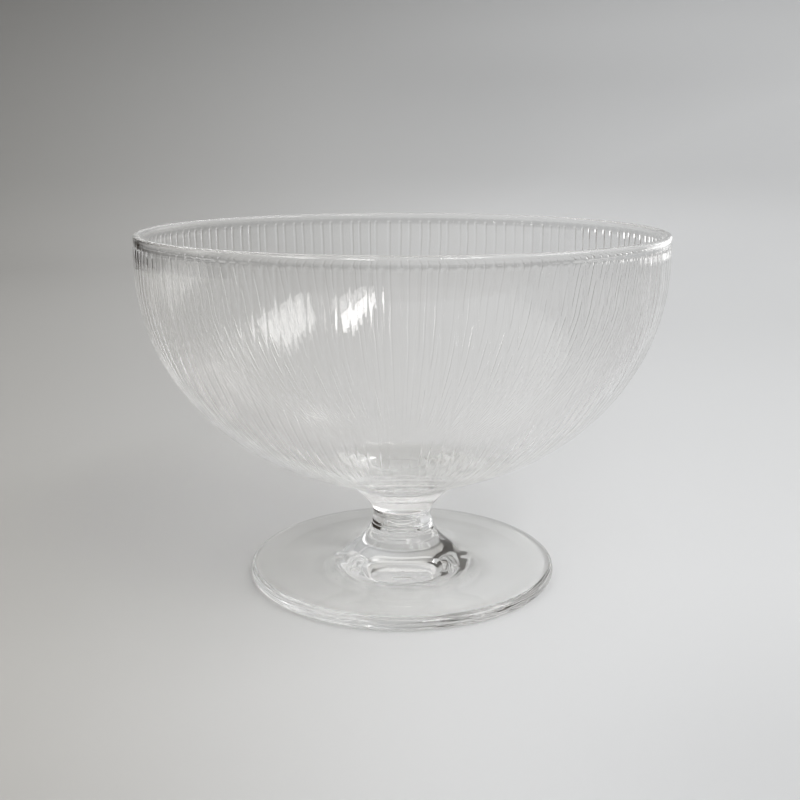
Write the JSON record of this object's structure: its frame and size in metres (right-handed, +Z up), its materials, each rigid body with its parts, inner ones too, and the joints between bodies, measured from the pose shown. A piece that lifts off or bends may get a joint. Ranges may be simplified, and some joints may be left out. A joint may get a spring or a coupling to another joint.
{
  "type": "compote dish",
  "caption": "Clear blown-glass footed bowl with fine upright ribs, a short waisted stem and a disc foot, for serving fruit, ices or sweets.",
  "frame": {"origin": "centre of the foot's underside, on the plane that the dish stands on", "axes": "+Z up along the dish's axis of turning; X and Y are any two directions square to it"},
  "size_m": [0.1253, 0.1252, 0.0858],
  "materials": {
    "bowl_glass": "polished, clear, with fine ribs",
    "stem_glass": "polished, clear",
    "foot_glass": "polished, clear"
  },
  "bodies": {
    "root": {"bowl": "bowl_glass", "stem": "stem_glass", "foot": "foot_glass"}
  },
  "joints": []
}
